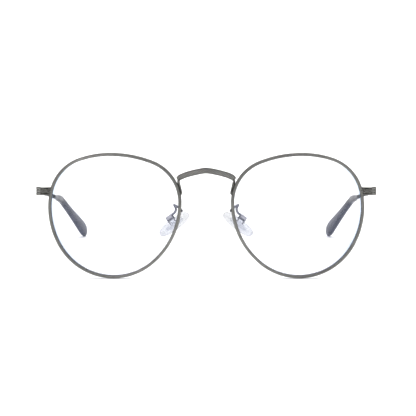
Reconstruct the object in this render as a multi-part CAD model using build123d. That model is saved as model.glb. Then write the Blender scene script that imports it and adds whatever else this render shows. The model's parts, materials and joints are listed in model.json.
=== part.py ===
from build123d import *

import math
import os

# Round full-rim metal spectacles with adjustable nose pads, temples open, standing on a table. +X is the
# wearer's left, +Y runs back towards the wearer and +Z is up. Z = 0 is the table, X = 0 is the middle of
# the nose bridge and Y = 0 is the middle of the spectacles' depth. Sizes are in millimetres, angles in
# degrees. Every left-hand piece is modelled here, and its right-hand twin is the mirror image in the YZ
# plane.

# ---- Driving dimensions: front -------------------------------------------------------------------------
LENS_PITCH = 73.2  # lens width 52 and distance between lenses 21
WRAP = 4.0  # each lens plane turns back by this at its temple side
DEPTH_MIDDLE = 70.85  # from the lens planes' middles back to Y = 0
RIM_WIDTH = 1.25  # rim wire, across, as seen from the front
RIM_DEPTH = 2.0  # rim wire, front to back
RIM_OUTER_ROUND = 0.5
RIM_INNER_ROUND = 0.22
GROOVE_DEPTH = 0.5
GROOVE_HALF_OPENING = 0.55
RIM_SLIT = 0.2  # the rim wire is one length, and its two ends face each other across this
BRAZE_GAP = 0.02  # film of solder between brazed pieces

# The rim wire's centre line as arcs of (radius, turn), clockwise from the top, with the temple side on
# the right. The two radii given as None are worked out so that the outline closes.
RIM_ARCS = (
    (38.4, 19.1),
    (17.6, 59.9),
    (31.5, 40.0),
    (24.4, 100.6),
    (31.7, 50.8),
    (None, 68.6),
    (None, 21.0),
)

LENS_THICKNESS = 1.8
LENS_CURVE = 130.0  # radius of the lens's middle surface
LENS_EDGE_RADIUS = 25.0  # the lens's middle surface meets the groove's plane this far from the lens centre
LENS_CLEARANCE = 0.05  # between the lens's flat edge and the rim
BEVEL_HEIGHT = 0.42  # how far the lens's bevel stands into the groove
BEVEL_HALF_WIDTH = 0.45

# ---- Driving dimensions: bridge ------------------------------------------------------------------------
# Half of the bridge's flattened arch, from its middle out: (x, y, height above the lens centre, half
# height, half depth). A round leg starts behind the arch's end and runs down the nasal side of the rim.
BRIDGE_ARCH = (
    (0.0, -3.50, 18.40, 1.13, 0.70),
    (4.2, -3.40, 17.75, 1.13, 0.72),
    (8.2, -3.00, 16.65, 1.12, 0.74),
    (10.2, -2.55, 15.75, 1.05, 0.72),
    (11.2, -2.20, 15.15, 0.80, 0.55),
)
BRIDGE_LEG = (
    (10.1, -2.35, 15.50),
    (11.0, -1.25, 14.20),
    (10.85, -0.90, 12.60),
    (10.40, -0.95, 10.60),
    (9.95, -1.15, 8.50),
)
BRIDGE_LEG_RADIUS = 0.57

# ---- Driving dimensions: end piece, rim lock and hinge -------------------------------------------------
HINGE_ABOVE_LENS = 9.25  # hinge's middle, above the lens centre
HINGE_SETBACK = 7.0  # hinge pin behind the middle of the rim's temple edge
HINGE_LEAN = 3.9  # the hinge pin's top leans back by this
ARM_OUTER = 2.65  # the temple's outer face, outside the hinge pin's axis
ARM_THICKNESS = 1.2
FRONT_WIDTH = 136.4  # over the two end pieces
BUTT_AHEAD = 0.6  # the joint between end piece and temple, ahead of the hinge pin
BUTT_GAP = 0.05
END_PIECE_STEP = 0.25  # the end piece's face stands behind the rim's by this
END_PIECE_HALF_HEIGHT = 1.6
END_PIECE_WAIST = 1.4  # half height where the end piece is narrowest
END_PIECE_CORNER = 2.2
END_PIECE_EDGE = 0.25
KNUCKLE_RADIUS = 1.35
KNUCKLE_MIDDLE_HALF = 0.42
KNUCKLE_GAP = 0.05
KNUCKLE_TOP = 1.05
LEAF_THICKNESS = 0.7
LEAF_HALF_HEIGHT = 1.1
WEB_INNER = 0.35  # the webs that carry the knuckles, outward of the pin's axis
WEB_LENGTH = 1.7
FRONT_LEAF_LENGTH = 4.6
TEMPLE_LEAF_LENGTH = 8.0
HINGE_SCREW_RADIUS = 0.70
HINGE_SCREW_HEAD_RADIUS = 1.05
HINGE_SCREW_HEAD = 0.3
TURNING_CLEARANCE = 0.05
SCREW_CLEARANCE = 0.02
SLOT_WIDTH = 0.28
SLOT_DEPTH = 0.22

BLOCK_LENGTH = 2.2
BLOCK_DEPTH = 2.2
BLOCK_TOP = 1.5
BLOCK_BOTTOM = 1.3
BLOCK_GAP = 0.2  # between the upper and the lower block, which the screw closes
LOCK_SCREW_RADIUS = 0.6
LOCK_SCREW_HEAD_RADIUS = 0.95
LOCK_SCREW_HEAD = 0.6

# ---- Driving dimensions: nose pads ---------------------------------------------------------------------
PAD_PIVOT = (14.4, 5.8, -2.1)  # the pad screw's middle: x, y, height above the lens centre
PAD_FRONTAL_ANGLE = 53.0  # the pad's long axis from the vertical, seen from the front
PAD_SPLAY = 25.0  # the pad's face turns back by this
PAD_LENGTH = 14.6
PAD_WIDTH = 7.2
PAD_THICKNESS = 2.2
PAD_DROP = 2.85  # pad's middle below its screw
PAD_ROUND = 0.95
CORE_LENGTH = 8.0
CORE_WIDTH = 4.0
CORE_THICKNESS = 0.6
CORE_CLEARANCE = 0.03
LUG_LENGTH = 1.5
LUG_WIDTH = 1.4
LUG_TOP = 0.75
BOX_LENGTH = 2.8
BOX_WIDTH = 2.4
BOX_HALF_HEIGHT = 1.3
BOX_WALL = 0.4
PAD_SCREW_RADIUS = 0.4
PAD_SCREW_HEAD_RADIUS = 0.7
PAD_SCREW_HEAD = 0.4

# The pad arm's wire from its foot on the back of the rim to the pad box: (x, y, height above the lens
# centre).
PAD_ARM_RADIUS = 0.48
PAD_ARM_FOOT_RADIUS = 0.62
PAD_ARM_FOOT_LENGTH = 0.8
PAD_ARM_ROUTE = (
    (10.2, -0.9, 2.1),
    (10.8, 1.9, 2.9),
    (12.8, 3.0, 4.0),
    (12.3, 4.9, 2.7),
    (12.4, 5.7, 1.2),
    (14.0, 5.9, -0.2),
)

# ---- Driving dimensions: temples -----------------------------------------------------------------------
TEMPLE_SLOPE = 7.85  # the open temple falls by this towards its tip
TEMPLE_TOE_IN = 1.1
BLADE_LENGTH = 28.0  # the flattened front stretch of the temple, from the hinge pin
BLADE_FLAT = 6.0
BLADE_HALF_HEIGHT = 1.6
WIRE_HALF_HEIGHT = 0.75
EDGE_ROUND = 0.3
SLEEVE_START = 60.0  # where the temple tip begins, from the hinge pin
EAR_BEND_START = 91.0
EAR_BEND_RADIUS = 24.0
EAR_BEND_ANGLE = 19.5
EAR_BEND_ROLL = 28.7  # the bend's plane leans in by this, so that the tip hugs the head
CORE_WIRE_RADIUS = 0.55
CORE_WIRE_END = 128.5
# Temple tip's section along its length: (distance from the hinge pin, half height, half thickness).
TIP_STATIONS = (
    (60.0, 0.84, 0.82),
    (72.0, 0.92, 0.88),
    (77.0, 1.10, 1.02),
    (82.0, 1.42, 1.20),
    (91.0, 1.60, 1.30),
    (93.1, 1.63, 1.30),
    (95.2, 1.66, 1.30),
    (97.3, 1.70, 1.30),
    (99.4, 1.74, 1.30),
    (108.5, 1.92, 1.32),
    (116.5, 2.25, 1.36),
    (124.5, 2.75, 1.42),
    (131.5, 3.20, 1.48),
    (136.5, 3.40, 1.50),
    (139.5, 3.05, 1.40),
    (141.5, 2.25, 1.15),
    (142.5, 1.10, 0.70),
)

ROOM = 60.0  # a size that reaches past any piece, for tools that cut


# ---- Rim outline ---------------------------------------------------------------------------------------
def solved_arcs():
    """The rim's arcs with the two open radii filled in, so that the outline ends where it began."""
    heading, chords = 0.0, []
    for _, turn in RIM_ARCS:
        after = heading - math.radians(turn)
        chords.append((math.sin(heading) - math.sin(after), math.cos(after) - math.cos(heading)))
        heading = after
    known = [(r, c) for (r, _), c in zip(RIM_ARCS, chords) if r is not None]
    (ax, az), (bx, bz) = [c for (r, _), c in zip(RIM_ARCS, chords) if r is None]
    sum_x = -sum(r * c[0] for r, c in known)
    sum_z = -sum(r * c[1] for r, c in known)
    spread = ax * bz - az * bx
    open_radii = iter(((sum_x * bz - sum_z * bx) / spread, (ax * sum_z - az * sum_x) / spread))
    return [(next(open_radii) if r is None else r, turn) for r, turn in RIM_ARCS]


def outline_face(arcs, offset):
    """The flat face inside the outline, grown by offset, in the plane Y = 0."""
    edges = [CenterArc((cx, cz), r + offset, a - t, t) for cx, cz, r, a, t in arcs]
    return Plane.XZ * make_face(edges)


def placed_arcs():
    """Each arc as (centre x, centre z, radius, start angle, turn), about the middle of the outline's box."""
    x, z, heading, arcs = 0.0, 0.0, 0.0, []
    for radius, turn in solved_arcs():
        cx = x + radius * math.sin(math.radians(heading))
        cz = z - radius * math.cos(math.radians(heading))
        arcs.append((cx, cz, radius, heading + 90.0, turn))
        heading -= turn
        x = cx - radius * math.sin(math.radians(heading))
        z = cz + radius * math.cos(math.radians(heading))
    middle = outline_face(arcs, 0.0).bounding_box().center()
    return [(cx - middle.X, cz - middle.Z, r, a, t) for cx, cz, r, a, t in arcs]


ARCS = placed_arcs()
RIM_BOX = outline_face(ARCS, RIM_WIDTH / 2).bounding_box()
LENS_HEIGHT = -RIM_BOX.min.Z
LENS_PLACE = Pos(LENS_PITCH / 2, -DEPTH_MIDDLE, LENS_HEIGHT) * Rot(0, 0, WRAP)
RIM_EDGE = (LENS_PLACE * Pos(RIM_BOX.max.X, 0, 0)).position

# The hinge's own frame: its origin is the middle of the hinge pin and its Z runs along the pin.
HINGE_X = FRONT_WIDTH / 2 - ARM_OUTER
HINGE_MIDDLE = (HINGE_X, RIM_EDGE.Y + HINGE_SETBACK, LENS_HEIGHT + HINGE_ABOVE_LENS)
HINGE_PLACE = Pos(*HINGE_MIDDLE) * Rot(-HINGE_LEAN, 0, 0)
TEMPLE_PLACE = HINGE_PLACE * Rot(0, 0, TEMPLE_TOE_IN) * Rot(HINGE_LEAN - TEMPLE_SLOPE, 0, 0)
ARM_INNER = ARM_OUTER - ARM_THICKNESS
RIM_EDGE_X = RIM_EDGE.X - HINGE_X  # the rim's edge in the hinge's frame
FACE_Y = -HINGE_SETBACK - RIM_DEPTH / 2 + END_PIECE_STEP  # the end piece's face in the hinge's frame
BACK_Y = FACE_Y + ARM_THICKNESS


# ---- Shapes used more than once ------------------------------------------------------------------------
def block_of(x, y, z):
    """A block between the limits (low, high) on each axis."""
    middle = Pos((x[0] + x[1]) / 2, (y[0] + y[1]) / 2, (z[0] + z[1]) / 2)
    return middle * Box(x[1] - x[0], y[1] - y[0], z[1] - z[0])


def rod(radius, low, high):
    """A round rod along Z from low to high."""
    return Pos(0, 0, (low + high) / 2) * Cylinder(radius, high - low)


def screw(shaft_radius, shaft_low, head_radius, head_low, head_high):
    """A slotted screw along Z with its head on top."""
    head = rod(head_radius, head_low, head_high)
    head = chamfer(head.edges().filter_by(GeomType.CIRCLE).sort_by(Axis.Z)[-1], head_radius * 0.15)
    slot = block_of((-ROOM, ROOM), (-SLOT_WIDTH / 2, SLOT_WIDTH / 2), (head_high - SLOT_DEPTH, ROOM))
    return rod(shaft_radius, shaft_low, head_low) + head - slot


def swept_round(section):
    """A section, drawn as (distance outside the centre line, depth), carried all round the rim's line."""
    ring = None
    for cx, cz, radius, angle, turn in ARCS:
        out = (math.cos(math.radians(angle)), 0.0, math.sin(math.radians(angle)))
        across = Plane(origin=(cx, 0.0, cz), x_dir=out, z_dir=(-out[2], 0.0, out[0]))
        piece = revolve(across * (Pos(radius, 0) * section), Axis((cx, 0, cz), (0, 1, 0)), turn)
        ring = piece if ring is None else ring + piece
    return ring


def rim_with_film():
    """The rim's outer shape grown by the film of solder, which cuts back the pieces brazed to it."""
    band = Rectangle(RIM_WIDTH + 2 * BRAZE_GAP, RIM_DEPTH + 2 * BRAZE_GAP)
    band = fillet(band.vertices().filter_by(lambda v: v.X > 0), RIM_OUTER_ROUND)
    return LENS_PLACE * swept_round(band)


RIM_TOOL = rim_with_film()


# ---- Front: rim and lens -------------------------------------------------------------------------------
def rim_section():
    half, deep, lip = RIM_WIDTH / 2, RIM_DEPTH / 2, GROOVE_HALF_OPENING
    groove = [(-half, lip), (GROOVE_DEPTH - half, 0), (-half, -lip)]
    corners = [(half, -deep), (half, deep), (-half, deep), *groove, (-half, -deep)]
    section = make_face(Polyline(*corners, close=True))
    section = fillet(section.vertices().filter_by(lambda v: v.X > 0), RIM_OUTER_ROUND)
    inner_corners = section.vertices().filter_by(lambda v: v.X < 0 and abs(v.Y) > deep - 0.01)
    return fillet(inner_corners, RIM_INNER_ROUND)


def bevel_section():
    flat = -RIM_WIDTH / 2 - LENS_CLEARANCE
    inner = flat - BEVEL_HALF_WIDTH
    tip = (BEVEL_HEIGHT - RIM_WIDTH / 2, 0)
    front = [(inner, -BEVEL_HALF_WIDTH), (flat, -BEVEL_HALF_WIDTH)]
    back = [(flat, BEVEL_HALF_WIDTH), (inner, BEVEL_HALF_WIDTH)]
    return make_face(Polyline(*front, tip, *back, close=True))


def make_rim():
    slit = block_of((0, ROOM), (-ROOM, ROOM), (-RIM_SLIT / 2, RIM_SLIT / 2))
    return LENS_PLACE * swept_round(rim_section()) - HINGE_PLACE * Pos(RIM_EDGE_X - 4, 0, 0) * slit


def make_lens():
    edge = outline_face(ARCS, -RIM_WIDTH / 2 - LENS_CLEARANCE)
    centre = math.sqrt(LENS_CURVE**2 - LENS_EDGE_RADIUS**2)
    shell = Sphere(LENS_CURVE + LENS_THICKNESS / 2) - Sphere(LENS_CURVE - LENS_THICKNESS / 2)
    disc = extrude(edge, 8, both=True) & (Pos(0, centre, 0) * shell)
    return LENS_PLACE * (disc + swept_round(bevel_section()))


# ---- Front: bridge -------------------------------------------------------------------------------------
def make_bridge():
    half = list(BRIDGE_ARCH)
    stations = [(-x, y, z, tall, deep) for x, y, z, tall, deep in reversed(half[1:])] + half
    points = [Vector(x, y - DEPTH_MIDDLE, z + LENS_HEIGHT) for x, y, z, _, _ in stations]
    sections = []
    for i, (_, _, _, half_height, half_depth) in enumerate(stations):
        along = (points[min(i + 1, len(points) - 1)] - points[max(i - 1, 0)]).normalized()
        side = along.cross(Vector(0, 1, 0))
        sections.append(Plane(origin=points[i], x_dir=side, z_dir=along) * Ellipse(half_height, half_depth))
    leg_line = Spline(*[Vector(x, y - DEPTH_MIDDLE, z + LENS_HEIGHT) for x, y, z in BRIDGE_LEG])
    leg = sweep(Plane(origin=leg_line @ 0, z_dir=leg_line % 0) * Circle(BRIDGE_LEG_RADIUS), leg_line)
    bridge = Part() + loft(sections) + leg + mirror(leg, about=Plane.YZ)
    return bridge - RIM_TOOL - mirror(RIM_TOOL, about=Plane.YZ)


# ---- Front: end piece, rim lock and hinge --------------------------------------------------------------
def end_piece_plan():
    """The end piece from above: along the front, round the corner and back to the temple."""
    inner_end = RIM_EDGE_X - RIM_WIDTH * 0.6
    outer = [(inner_end, FACE_Y), (ARM_OUTER, FACE_Y), (ARM_OUTER, -BUTT_AHEAD)]
    inner = [(ARM_INNER, -BUTT_AHEAD), (ARM_INNER, BACK_Y), (inner_end, BACK_Y)]
    plan = make_face(Polyline(*outer, *inner, close=True))
    plan = fillet(plan.vertices().sort_by_distance((ARM_OUTER, FACE_Y))[0], END_PIECE_CORNER)
    inner_corner = plan.vertices().sort_by_distance((ARM_INNER, BACK_Y))[0]
    return fillet(inner_corner, END_PIECE_CORNER - ARM_THICKNESS)


def end_piece_face():
    """The end piece from the front: tall at the rim, waisted, and tall again at its corner."""
    rim_side, tall, waist = RIM_EDGE_X - RIM_WIDTH, END_PIECE_HALF_HEIGHT, END_PIECE_WAIST
    middle = (RIM_EDGE_X + ARM_OUTER) / 2
    top = Spline((rim_side, tall), (middle, waist), (ARM_OUTER - 0.6, tall), (ARM_OUTER, tall - 0.15))
    bottom = mirror(top, about=Plane.XZ)
    ends = [Line(top @ 0, bottom @ 0), Line(top @ 1, bottom @ 1)]
    return make_face([top, bottom] + ends)


def make_end_piece():
    bar = extrude(end_piece_plan(), ROOM, both=True)
    bar &= Plane.XZ * extrude(end_piece_face(), ROOM, both=True)
    long_edges = bar.edges().filter_by(lambda e: e.length > 2.0 and abs(e.center().Z) > 1.0)
    bar = fillet(long_edges, END_PIECE_EDGE)
    free_end = block_of((-ROOM, RIM_EDGE_X + 0.15), (-ROOM, 0), (-ROOM, BLOCK_GAP / 2))
    return HINGE_PLACE * (bar - free_end) - RIM_TOOL


def make_lock_block(low, high, film):
    """One half of the rim lock, behind the end piece, brazed to one end of the rim wire."""
    start = RIM_EDGE_X - 0.3
    block = block_of((start, start + BLOCK_LENGTH), (BACK_Y + film, BACK_Y + BLOCK_DEPTH), (low, high))
    block = fillet(block.edges().filter_by(Axis.Z).sort_by(Axis.Y)[-2:], 0.5)
    bore = Pos(*lock_axis()) * rod(LOCK_SCREW_RADIUS + SCREW_CLEARANCE, -ROOM, ROOM)
    return HINGE_PLACE * (block - bore) - RIM_TOOL


def lock_axis():
    """The rim lock screw's place in the hinge's frame."""
    return (RIM_EDGE_X - 0.3 + BLOCK_LENGTH / 2, BACK_Y + BLOCK_DEPTH / 2)


def make_lock_screw():
    head_top = BLOCK_BOTTOM + LOCK_SCREW_HEAD
    part = screw(LOCK_SCREW_RADIUS, 0.15 - BLOCK_TOP, LOCK_SCREW_HEAD_RADIUS, BLOCK_BOTTOM, head_top)
    return HINGE_PLACE * Pos(*lock_axis()) * Rot(180, 0, 0) * part


def knuckle(low, high, bore):
    """One turn of the hinge round the pin."""
    return rod(KNUCKLE_RADIUS, low, high) - rod(bore, -ROOM, ROOM)


def make_hinge_front():
    along = (-BUTT_AHEAD - FRONT_LEAF_LENGTH, -BUTT_AHEAD)
    leaf = block_of((ARM_INNER - LEAF_THICKNESS, ARM_INNER), along, (-LEAF_HALF_HEIGHT, LEAF_HALF_HEIGHT))
    middle = KNUCKLE_MIDDLE_HALF + KNUCKLE_GAP
    leaf -= block_of((-ROOM, ROOM), (-WEB_LENGTH, ROOM), (-middle, middle))
    bore = HINGE_SCREW_RADIUS + SCREW_CLEARANCE
    for low, high in ((middle, KNUCKLE_TOP), (-KNUCKLE_TOP, -middle)):
        web = block_of((WEB_INNER, KNUCKLE_RADIUS), (-BUTT_AHEAD - 0.6, 0), (low, high))
        leaf += web + rod(KNUCKLE_RADIUS, low, high)
    return HINGE_PLACE * (leaf - rod(bore, -ROOM, ROOM))


def make_hinge_screw():
    head_top = KNUCKLE_TOP + HINGE_SCREW_HEAD
    part = screw(HINGE_SCREW_RADIUS, -KNUCKLE_TOP, HINGE_SCREW_HEAD_RADIUS, KNUCKLE_TOP, head_top)
    return HINGE_PLACE * part


# ---- Front: pad arm and box, and the nose pad ----------------------------------------------------------
def pad_place():
    """The pad's own frame: the pad screw runs along X and the pad lies below, facing the nose."""
    angle, splay = math.radians(PAD_FRONTAL_ANGLE), math.radians(PAD_SPLAY)
    along = Vector(math.sin(angle), 0, -math.cos(angle))
    away = Vector(math.cos(angle), 0, math.sin(angle)) * math.cos(splay) - Vector(0, math.sin(splay), 0)
    x, y, z = PAD_PIVOT
    return Plane(origin=(x, y - DEPTH_MIDDLE, z + LENS_HEIGHT), x_dir=along, z_dir=away).location


PAD_PLACE = pad_place()


def along_x(shape):
    """Turns a shape that stands along Z to lie along X, its top towards -X."""
    return Rot(0, -90, 0) * shape


def make_pad_box():
    half, wide, tall = BOX_LENGTH / 2, BOX_WIDTH / 2, BOX_HALF_HEIGHT
    box = block_of((-half, half), (-wide, wide), (-tall, tall))
    box = fillet(box.edges().filter_by(Axis.Y).sort_by(Axis.Z)[-2:], 0.35)
    box -= block_of((BOX_WALL - half, half - BOX_WALL), (-ROOM, ROOM), (-ROOM, tall - BOX_WALL))
    return PAD_PLACE * (box - along_x(rod(PAD_SCREW_RADIUS + SCREW_CLEARANCE, -ROOM, ROOM)))


def make_pad_arm():
    points = [Vector(x, y - DEPTH_MIDDLE, z + LENS_HEIGHT) for x, y, z in PAD_ARM_ROUTE]
    route = Spline(*points)
    wire = sweep(Plane(origin=route @ 0, z_dir=route % 0) * Circle(PAD_ARM_RADIUS), route)
    foot = Plane(origin=route @ 0, z_dir=route % 0) * rod(PAD_ARM_FOOT_RADIUS, -0.4, PAD_ARM_FOOT_LENGTH)
    solder = BOX_HALF_HEIGHT + BRAZE_GAP
    length, width = BOX_LENGTH / 2 + BRAZE_GAP, BOX_WIDTH / 2 + BRAZE_GAP
    box = PAD_PLACE * block_of((-length, length), (-width, width), (-solder, solder))
    return wire + foot - RIM_TOOL - box


def make_pad_screw():
    half = BOX_LENGTH / 2
    part = screw(PAD_SCREW_RADIUS, -half, PAD_SCREW_HEAD_RADIUS, half, half + PAD_SCREW_HEAD)
    return PAD_PLACE * along_x(part)


def pad_core_shape(grow):
    """The stiff core of a nose pad: a plate with a lug that stands up to the pad screw."""
    outline = Ellipse(CORE_LENGTH / 2 + grow, CORE_WIDTH / 2 + grow)
    plate = Pos(0, 0, -PAD_DROP) * extrude(outline, CORE_THICKNESS / 2 + grow, both=True)
    half, wide = LUG_LENGTH / 2 + grow, LUG_WIDTH / 2 + grow
    lug = block_of((-half, half), (-wide, wide), (-PAD_DROP, LUG_TOP))
    return plate + lug


def make_pad_core():
    return PAD_PLACE * (pad_core_shape(0) - along_x(rod(PAD_SCREW_RADIUS + TURNING_CLEARANCE, -ROOM, ROOM)))


def make_nose_pad():
    pad = extrude(Ellipse(PAD_LENGTH / 2, PAD_WIDTH / 2), PAD_THICKNESS / 2, both=True)
    pad = Pos(0, 0, -PAD_DROP) * fillet(pad.edges(), PAD_ROUND)
    return PAD_PLACE * (pad - pad_core_shape(CORE_CLEARANCE))


# ---- Temples -------------------------------------------------------------------------------------------
def temple_point(distance):
    """The point on the temple's centre line and the line's direction there, in the temple's frame."""
    bend = math.radians(EAR_BEND_ANGLE)
    past = distance - EAR_BEND_START
    turned = min(max(past / EAR_BEND_RADIUS, 0.0), bend)
    tail = max(past - EAR_BEND_RADIUS * bend, 0.0)
    straight = min(distance, EAR_BEND_START)
    y = straight + EAR_BEND_RADIUS * math.sin(turned) + tail * math.cos(turned)
    drop = EAR_BEND_RADIUS * (1 - math.cos(turned)) + tail * math.sin(turned)
    roll = math.radians(EAR_BEND_ROLL)
    middle = ARM_OUTER - ARM_THICKNESS / 2
    point = Vector(middle - drop * math.sin(roll), y, -drop * math.cos(roll))
    fall = math.sin(turned)
    direction = Vector(-fall * math.sin(roll), math.cos(turned), -fall * math.cos(roll))
    return point, direction


def temple_section(distance, half_height, half_thickness):
    """An oval across the temple, its long way in the upright plane."""
    point, direction = temple_point(distance)
    upright = Vector(1, 0, 0).cross(direction).normalized()
    return Plane(origin=point, x_dir=upright, z_dir=direction) * Ellipse(half_height, half_thickness)


def core_wire(radius):
    """The round end of the temple's wire inside the tip, or with a larger radius the hole it fills."""
    bend_end = EAR_BEND_START + EAR_BEND_RADIUS * math.radians(EAR_BEND_ANGLE)
    start, turn, straighten, end = [
        temple_point(d)[0] for d in (SLEEVE_START - 1.0, EAR_BEND_START, bend_end, CORE_WIRE_END)
    ]
    path = Line(start, turn) + TangentArc(turn, straighten, tangent=(0, 1, 0)) + Line(straighten, end)
    return sweep(Plane(origin=start, z_dir=(0, 1, 0)) * Circle(radius), path)


def make_temple_arm():
    """The temple's metal: a blade at the hinge, a wire behind it, and a thinner core inside the tip."""
    tall, slim = BLADE_HALF_HEIGHT, WIRE_HALF_HEIGHT
    top = [(-2, tall), (BLADE_FLAT, tall)]
    taper = Spline((BLADE_FLAT, tall), (BLADE_LENGTH, slim), tangents=[(1, 0), (1, 0)])
    low_taper = mirror(taper, about=Plane.XZ)
    upper = [Line(*top), taper, Line((BLADE_LENGTH, slim), (SLEEVE_START, slim))]
    low_rear = Line((BLADE_LENGTH, -slim), (SLEEVE_START, -slim))
    lower = [Line((-2, -tall), (BLADE_FLAT, -tall)), low_taper, low_rear]
    ends = [Line((-2, -tall), (-2, tall)), Line((SLEEVE_START, -slim), (SLEEVE_START, slim))]
    side = make_face(upper + lower + ends)
    blade = Plane.YZ * Pos(0, 0, ARM_INNER) * extrude(side, ARM_THICKNESS)
    blade = fillet(blade.edges().filter_by(lambda e: e.length > 5.0), EDGE_ROUND)
    arm = TEMPLE_PLACE * (blade + core_wire(CORE_WIRE_RADIUS))
    toe = HINGE_PLACE * Rot(0, 0, TEMPLE_TOE_IN)
    return arm - toe * block_of((-ROOM, ROOM), (-ROOM, BUTT_GAP - BUTT_AHEAD), (-ROOM, ROOM))


def make_hinge_temple():
    half, film = LEAF_HALF_HEIGHT, BRAZE_GAP
    along = (WEB_LENGTH - 0.2, TEMPLE_LEAF_LENGTH)
    leaf = block_of((ARM_INNER - LEAF_THICKNESS, ARM_INNER), along, (-half, half))
    middle = KNUCKLE_MIDDLE_HALF
    web = block_of((WEB_INNER, KNUCKLE_RADIUS), (0, WEB_LENGTH + 0.3), (-middle, middle))
    knuckle_part = rod(KNUCKLE_RADIUS, -middle, middle) + web
    bore = rod(HINGE_SCREW_RADIUS + TURNING_CLEARANCE, -ROOM, ROOM)
    return TEMPLE_PLACE * leaf + HINGE_PLACE * Rot(0, 0, TEMPLE_TOE_IN) * (knuckle_part - bore)


def make_temple_tip():
    shell = Part() + loft([temple_section(*station) for station in TIP_STATIONS], ruled=True)
    return TEMPLE_PLACE * (shell - core_wire(CORE_WIRE_RADIUS + CORE_CLEARANCE))


# ---- All pieces ----------------------------------------------------------------------------------------
LEFT_PIECES = {
    "rim": make_rim,
    "lens": make_lens,
    "end_piece": make_end_piece,
    "rim_lock_upper": lambda: make_lock_block(BLOCK_GAP / 2, BLOCK_TOP, BRAZE_GAP),
    "rim_lock_lower": lambda: make_lock_block(-BLOCK_BOTTOM, -BLOCK_GAP / 2, 2 * BRAZE_GAP),
    "rim_lock_screw": make_lock_screw,
    "hinge_front": make_hinge_front,
    "hinge_screw": make_hinge_screw,
    "pad_arm": make_pad_arm,
    "pad_box": make_pad_box,
    "pad_screw": make_pad_screw,
    "pad_core": make_pad_core,
    "nose_pad": make_nose_pad,
    "temple_arm": make_temple_arm,
    "hinge_temple": make_hinge_temple,
    "temple_tip": make_temple_tip,
}

os.makedirs("parts", exist_ok=True)
export_step(make_bridge(), "parts/bridge.step")
for name, make in LEFT_PIECES.items():
    piece = make()
    export_step(piece, f"parts/{name}_left.step")
    export_step(mirror(piece, about=Plane.YZ), f"parts/{name}_right.step")
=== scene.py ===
import json
import math

import bmesh
import bpy
import numpy as np
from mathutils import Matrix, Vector


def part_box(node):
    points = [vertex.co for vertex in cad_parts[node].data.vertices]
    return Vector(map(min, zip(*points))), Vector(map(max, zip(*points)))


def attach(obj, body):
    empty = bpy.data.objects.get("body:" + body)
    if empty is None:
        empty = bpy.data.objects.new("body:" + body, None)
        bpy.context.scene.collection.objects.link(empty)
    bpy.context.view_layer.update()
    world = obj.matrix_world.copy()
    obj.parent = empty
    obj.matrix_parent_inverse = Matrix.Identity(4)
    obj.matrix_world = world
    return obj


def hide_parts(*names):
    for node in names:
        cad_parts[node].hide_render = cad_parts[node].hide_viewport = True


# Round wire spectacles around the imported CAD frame. Shapes are worked out in millimetres and scaled to
# metres when a mesh is made. Left-hand pieces are built, and right-hand ones are their mirror images.

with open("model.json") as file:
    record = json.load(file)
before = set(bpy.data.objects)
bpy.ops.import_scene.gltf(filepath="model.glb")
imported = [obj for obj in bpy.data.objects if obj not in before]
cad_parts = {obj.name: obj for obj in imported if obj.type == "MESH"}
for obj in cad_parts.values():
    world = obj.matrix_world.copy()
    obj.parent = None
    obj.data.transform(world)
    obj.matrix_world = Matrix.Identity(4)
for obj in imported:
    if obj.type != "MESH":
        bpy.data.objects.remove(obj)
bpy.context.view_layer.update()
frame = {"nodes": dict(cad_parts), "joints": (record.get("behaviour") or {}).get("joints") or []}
SIDES = ("left", "right")


# ---- Places from the frame -----------------------------------------------------------------------------
def box_mm(node):
    low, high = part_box(node)
    return np.array(low) * 1000, np.array(high) * 1000


def joint_of(name):
    joint = next(j for j in frame["joints"] if j["name"] == name)
    return np.array(joint["pos_m"]) * 1000, np.array(joint["axis"])


RIM_LOW, RIM_HIGH = box_mm("rim_left")
LENS_CENTRE = (RIM_LOW + RIM_HIGH) / 2
HINGE_AT, HINGE_AXIS = joint_of("temple_hinge_left")
PAD_AT, PAD_AXIS = joint_of("pad_rock_left")
PAD_LOW, PAD_HIGH = box_mm("nose_pad_left")

# ---- Sizes, in millimetres and degrees -----------------------------------------------------------------
WRAP = 4.0
RIM_ARCS = ((38.4, 19.1), (17.6, 59.9), (31.5, 40.0), (24.4, 100.6), (31.7, 50.8), (None, 68.6), (None, 21.0))
RIM_HALF_WIDTH = 0.625
RIM_HALF_DEPTH = 1.0
RIM_OUTER_ROUND = 0.5
RIM_INNER_ROUND = 0.22
GROOVE_DEPTH = 0.5
GROOVE_HALF_OPENING = 0.55
RIM_SLIT = 0.2
ROPE_TURNS = 165
ROPE_STEPS = 10  # rings of points to each turn of the rope
ROPE_SLANT = 2.2
ROPE_DEPTH = 0.09
RIM_SIDE_SHADE = 0.07  # painted shade: how dark the sides of the rim are painted, next to its face
BACK_PATINA = 0.38  # how worn the plain backs and the temple wires are

LENS_CURVE = 130.0
LENS_HALF_THICKNESS = 0.9
LENS_EDGE_RADIUS = 25.0
LENS_CLEARANCE = 0.05
BEVEL_HEIGHT = 0.42
BEVEL_HALF_WIDTH = 0.45
PAINTED_REFLECTION_STRIP = 0.07  # painted reflection: how far in from its temple edge a blue-grey tint stands for the coating's reflection, by its radius
LENS_STEPS = 540  # points round the lens

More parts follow.
